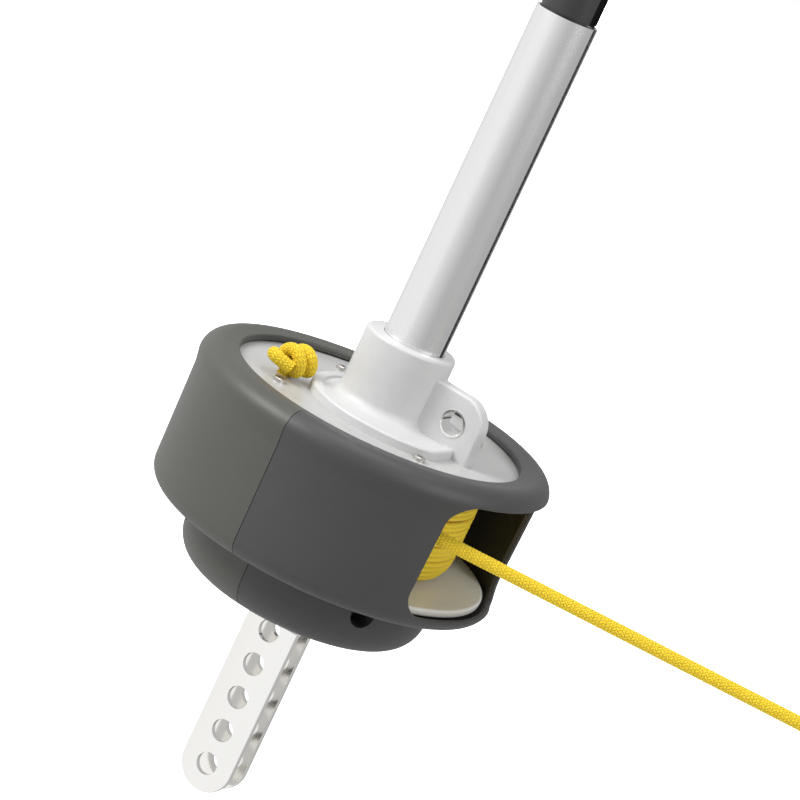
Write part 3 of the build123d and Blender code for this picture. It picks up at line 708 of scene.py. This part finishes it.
knot_route = [knot_hole + Vector((0, 0, -depth)) for depth in hole_depths] + [
    knot_place + along_knot * along + across_knot * across + upright_knot * rise
    for along, across, rise in knot_points + tail_points]
plate_knot = braided("plate_knot", knot_route)
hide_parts("stopper_knot")
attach(plate_knot, "spool")


# Studio
# A pale floor well below the part and a white room round it. The floor glows to the camera, so
# that it fades into the white, and reflections in the part look through it.
floor_glow = 0.42
floor_fade = 0.9


def white_floor():
    """Pale floor that takes soft shadows and grows white with the distance from the part."""
    material, tree, shader = surface("studio_floor", Base_Color=(0.92, 0.92, 0.92, 1),
                                     Roughness=0.9, Specular_IOR_Level=0.1)
    rays = add(tree, "ShaderNodeLightPath")
    plain = add(tree, "ShaderNodeEmission")
    both = add(tree, "ShaderNodeAddShader")
    spot = add(tree, "ShaderNodeVectorMath", operation="LENGTH")
    tree.links.new(object_point(tree), spot.inputs["Vector"])
    glow = calc(tree, "MULTIPLY_ADD", spot.outputs["Value"], floor_fade, floor_glow)
    seen_glow = calc(tree, "MULTIPLY", rays.outputs["Is Camera Ray"], glow)
    tree.links.new(seen_glow, plain.inputs["Strength"])
    tree.links.new(shader.outputs["BSDF"], both.inputs[0])
    tree.links.new(plain.outputs["Emission"], both.inputs[1])
    mix = add(tree, "ShaderNodeMixShader")
    tree.links.new(rays.outputs["Is Glossy Ray"], mix.inputs["Fac"])
    tree.links.new(both.outputs["Shader"], mix.inputs[1])
    tree.links.new(add(tree, "ShaderNodeBsdfTransparent").outputs["BSDF"], mix.inputs[2])
    tree.links.new(mix.outputs["Shader"], tree.nodes["Material Output"].inputs["Surface"])
    return material


floor_height = -0.17
floor_half = 6.0
floor_mesh = bpy.data.meshes.new("floor")
floor_mesh.from_pydata([(x, y, floor_height) for x, y in
                        ((-floor_half, -floor_half), (floor_half, -floor_half),
                         (floor_half, floor_half), (-floor_half, floor_half))], [], [(0, 1, 2, 3)])
floor_mesh.materials.append(white_floor())
floor = bpy.data.objects.new("floor", floor_mesh)
bpy.context.scene.collection.objects.link(floor)


room_light = 0.34
dim_bearing = 28.0
dim_half_width = 138.0
dim_edge = 74.0
dim_depth = 0.5


def studio_room():
    """White to the camera; reflections dim towards dim_bearing, the part's right side."""
    world = bpy.data.worlds.new("studio")
    world.use_nodes = True
    tree = world.node_tree
    rays = add(tree, "ShaderNodeLightPath")
    where = add(tree, "ShaderNodeTexCoord")
    turn = add(tree, "ShaderNodeMapping", vector_type="VECTOR")
    turn.inputs["Rotation"].default_value = (0, 0, radians(-dim_bearing))
    tree.links.new(where.outputs["Generated"], turn.inputs["Vector"])
    parts = add(tree, "ShaderNodeSeparateXYZ")
    tree.links.new(turn.outputs["Vector"], parts.inputs["Vector"])
    bearing = calc(tree, "ABSOLUTE", calc(tree, "ARCTAN2", parts.outputs["Y"], parts.outputs["X"]))
    inside = calc(tree, "SUBTRACT", radians(dim_half_width), bearing)
    dim = calc(tree, "DIVIDE", inside, radians(dim_edge), clamp=True)
    mirrored = calc(tree, "SUBTRACT", 1.0, calc(tree, "MULTIPLY", dim, dim_depth))
    glossy = rays.outputs["Is Glossy Ray"]
    camera_ray = rays.outputs["Is Camera Ray"]
    other = calc(tree, "SUBTRACT", 1.0, calc(tree, "MAXIMUM", glossy, camera_ray))
    strength = calc(tree, "ADD", calc(tree, "MULTIPLY", other, room_light),
                    calc(tree, "ADD", calc(tree, "MULTIPLY", glossy, mirrored), camera_ray))
    tree.links.new(strength, tree.nodes["Background"].inputs["Strength"])
    tree.nodes["Background"].inputs["Color"].default_value = (1, 1, 1, 1)
    return world


bpy.context.scene.world = studio_room()


# Camera
# It looks at the drum a little from above, turned so that the stay leans to the right.
# It is aimed so that the middle of the cover plate's top falls on plate_pixel of the picture.
view_azimuth = 23.0
view_elevation = 13.5
stay_lean = 25.2
camera_distance = 1.43
lens = 148.0
sensor = 36.0
frame_pixels = 800
plate_pixel = (378.8, 413.4)
azimuth, elevation, lean = (radians(value) for value in (view_azimuth, view_elevation, stay_lean))
backward = Vector((sin(azimuth) * cos(elevation), -cos(azimuth) * cos(elevation), sin(elevation)))
level = Vector((cos(azimuth), sin(azimuth), 0))
rising = backward.cross(level)
right_axis = level * cos(lean) + rising * sin(lean)
up_axis = rising * cos(lean) - level * sin(lean)
metres_per_pixel = camera_distance * sensor / lens / frame_pixels
middle = (Vector((0, 0, plate_top))
          + right_axis * (frame_pixels / 2 - plate_pixel[0]) * metres_per_pixel
          + up_axis * (plate_pixel[1] - frame_pixels / 2) * metres_per_pixel)
camera = bpy.data.objects.new("camera", bpy.data.cameras.new("camera"))
camera.data.lens = lens
camera.data.sensor_width = sensor
camera.data.clip_end = 30.0
camera.matrix_world = Matrix.Translation(middle + backward * camera_distance) @ Matrix(
    (right_axis, up_axis, backward)).transposed().to_4x4()
bpy.context.scene.collection.objects.link(camera)
bpy.context.scene.camera = camera
bpy.context.scene.view_settings.view_transform = "Standard"


# Lamps
# Three large soft lamps aimed at the drum: a strong key lamp on the camera's left, a weak fill
# lamp on the part's right and a weak one straight above.
drum_middle = Vector((0, 0, 0.15))
lamp_size = 0.9
key_back, key_left, key_rise = 0.55, 1.45, 1.0
fill_distance, fill_bearing, fill_height = 1.25, -8.0, 0.85
top_height = 1.6


def soft_lamp(name, place, power):
    """A square area lamp that faces the drum."""
    lamp = bpy.data.lights.new(name, "AREA")
    lamp.size = lamp_size
    lamp.energy = power
    item = bpy.data.objects.new(name, lamp)
    item.location = place
    item.rotation_euler = (place - drum_middle).to_track_quat("Z", "Y").to_euler()
    bpy.context.scene.collection.objects.link(item)


key_place = middle + backward * key_back - level * key_left + Vector((0, 0, key_rise))
soft_lamp("key", key_place, power=32.0)
soft_lamp("fill", polar(fill_distance, fill_bearing, fill_height), power=8.0)
soft_lamp("top", Vector((0, 0, top_height)), power=7.0)
